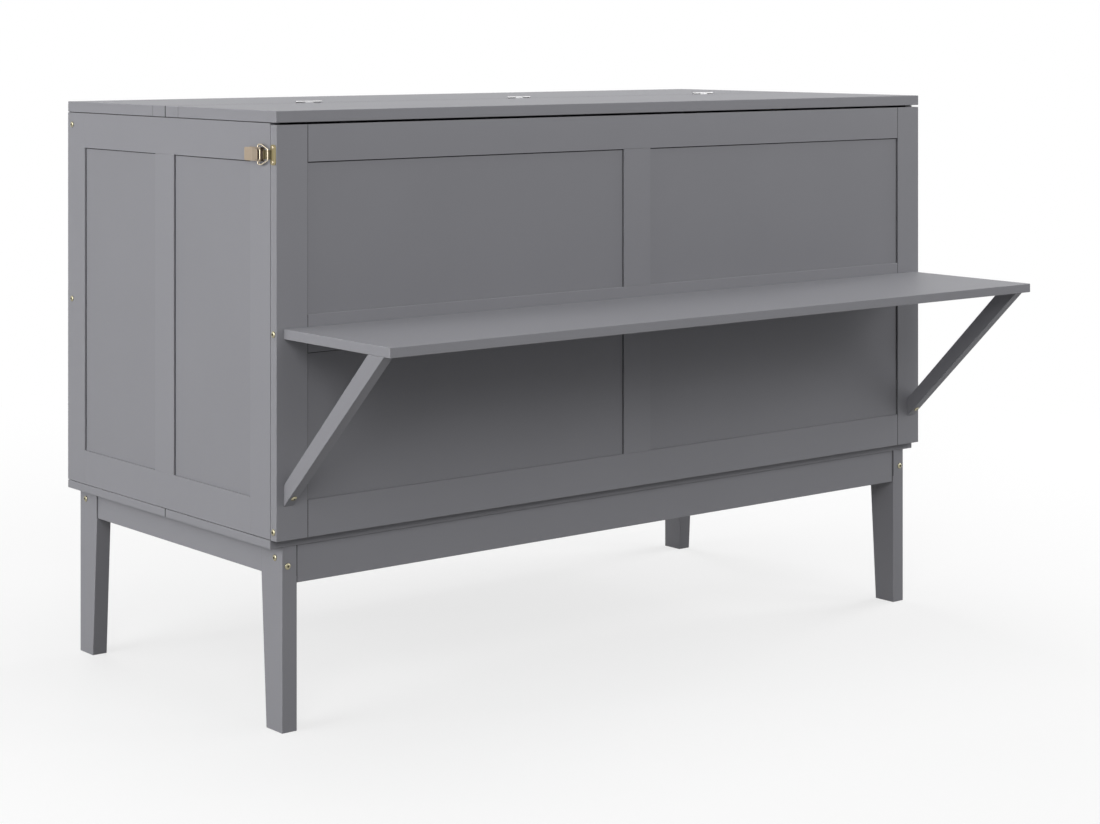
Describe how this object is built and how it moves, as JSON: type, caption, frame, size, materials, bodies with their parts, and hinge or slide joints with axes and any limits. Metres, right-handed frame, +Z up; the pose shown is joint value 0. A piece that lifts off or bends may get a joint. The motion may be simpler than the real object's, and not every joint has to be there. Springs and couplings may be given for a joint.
{
  "type": "cabinet bed",
  "caption": "Panelled chest on tapered legs that opens into a bed: drop front with a shelf as its support, fold-back lid half, fold-out leaf and draw latches.",
  "frame": {"origin": "on the floor, under the middle of the closed cabinet with its shelf", "axes": "+Z up, +X along the width to the right as seen from the front, -Y is the front with the shelf"},
  "size_m": [1.6118, 1.052, 1.0639],
  "materials": {
    "painted_wood": "satin grey paint over solid wood boards",
    "painted_panel": "satin grey paint over thin board",
    "inner_wood": "clear matt lacquer on pale softwood",
    "brass_bolt": "bright yellow-passivated domed heads",
    "latch_brass": "satin brass plating",
    "hinge_steel": "satin nickel plating",
    "shaft_steel": "plain drawn rod"
  },
  "bodies": {
    "cabinet": {"leg_front_left": "painted_wood", "leg_front_right": "painted_wood", "leg_rear_left": "painted_wood", "leg_rear_right": "painted_wood", "apron_front": "painted_wood", "apron_rear": "painted_wood", "apron_left": "painted_wood", "apron_right": "painted_wood", "base_cross_rail": "inner_wood", "corner_blocks": "inner_wood", "base_board_front": "painted_wood", "base_board_rear": "painted_wood", "side_left_stiles": "painted_wood", "side_left_rails": "painted_wood", "side_left_panels": "painted_panel", "side_right_stiles": "painted_wood", "side_right_rails": "painted_wood", "side_right_panels": "painted_panel", "back_frame": "painted_wood", "back_panels": "painted_panel", "lid_rear": "painted_wood", "lid_cleats": "inner_wood", "lid_hinge_rear_leaves": "hinge_steel", "lid_hinge_pins": "hinge_steel", "front_hinge_base_leaves": "hinge_steel", "front_hinge_pins": "hinge_steel", "cabinet_bolts": "brass_bolt", "latch_base_left": "latch_brass", "latch_base_right": "latch_brass", "latch_pins": "latch_brass", "latch_base_screws": "latch_brass"},
    "front": {"front_stile_left": "painted_wood", "front_stile_right": "painted_wood", "front_centre_stiles": "painted_wood", "front_rail_top": "painted_wood", "front_rail_middle": "painted_wood", "front_rail_bottom": "painted_wood", "front_panels": "painted_panel", "shelf": "painted_wood", "strut_left": "painted_wood", "strut_right": "painted_wood", "front_bolts": "brass_bolt", "latch_catch_left": "latch_brass", "latch_catch_right": "latch_brass", "latch_catch_screws": "latch_brass", "front_hinge_front_leaves": "hinge_steel", "leaf_hinge_front_leaves": "hinge_steel", "leaf_hinge_pins": "hinge_steel"},
    "lid_half": {"lid_front": "painted_wood", "lid_hinge_front_leaves": "hinge_steel"},
    "leaf": {"leaf_board": "inner_wood", "leaf_rails": "inner_wood", "leaf_hinge_leaves": "hinge_steel"},
    "leaf_support": {"leaf_legs": "inner_wood", "leaf_leg_shaft": "shaft_steel"},
    "lever_left": {"latch_lever_left": "latch_brass"},
    "lever_right": {"latch_lever_right": "latch_brass"},
    "bail_left": {"latch_bail_left": "latch_brass"},
    "bail_right": {"latch_bail_right": "latch_brass"}
  },
  "joints": [
    {"name": "front_drop", "type": "hinge", "parent": "cabinet", "child": "front", "pos_m": [0, -0.19525, 0.3324], "axis": [1, 0, 0], "range_deg": [0, 90]},
    {"name": "lid_fold", "type": "hinge", "parent": "cabinet", "child": "lid_half", "pos_m": [0, 0.156, 1.06205], "axis": [-1, 0, 0], "range_deg": [0, 180]},
    {"name": "leaf_unfold", "type": "hinge", "parent": "front", "child": "leaf", "pos_m": [0, -0.19525, 1.033], "axis": [1, 0, 0], "range_deg": [0, 180]},
    {"name": "leaf_leg_swing", "type": "hinge", "parent": "leaf", "child": "leaf_support", "pos_m": [0, -0.178, 0.441], "axis": [-1, 0, 0], "range_deg": [0, 90]},
    {"name": "lever_left_swing", "type": "hinge", "parent": "cabinet", "child": "lever_left", "pos_m": [-0.801, -0.1725, 0.9855], "axis": [0, 0, 1], "range_deg": [0, 110]},
    {"name": "bail_left_swing", "type": "hinge", "parent": "lever_left", "child": "bail_left", "pos_m": [-0.8, -0.1645, 0.9855], "axis": [0, 0, 1], "range_deg": [-137.5, 0]},
    {"name": "lever_right_swing", "type": "hinge", "parent": "cabinet", "child": "lever_right", "pos_m": [0.801, -0.1725, 0.9855], "axis": [0, 0, -1], "range_deg": [0, 110]},
    {"name": "bail_right_swing", "type": "hinge", "parent": "lever_right", "child": "bail_right", "pos_m": [0.8, -0.1645, 0.9855], "axis": [0, 0, -1], "range_deg": [-137.5, 0]}
  ],
  "couplings": [
    {"joint": "lid_fold", "follows": "front_drop", "ratio": 2},
    {"joint": "leaf_unfold", "follows": "front_drop", "ratio": 2},
    {"joint": "leaf_leg_swing", "follows": "front_drop", "ratio": 1},
    {"joint": "bail_left_swing", "follows": "lever_left_swing", "ratio": -1.25},
    {"joint": "bail_right_swing", "follows": "lever_right_swing", "ratio": -1.25}
  ]
}
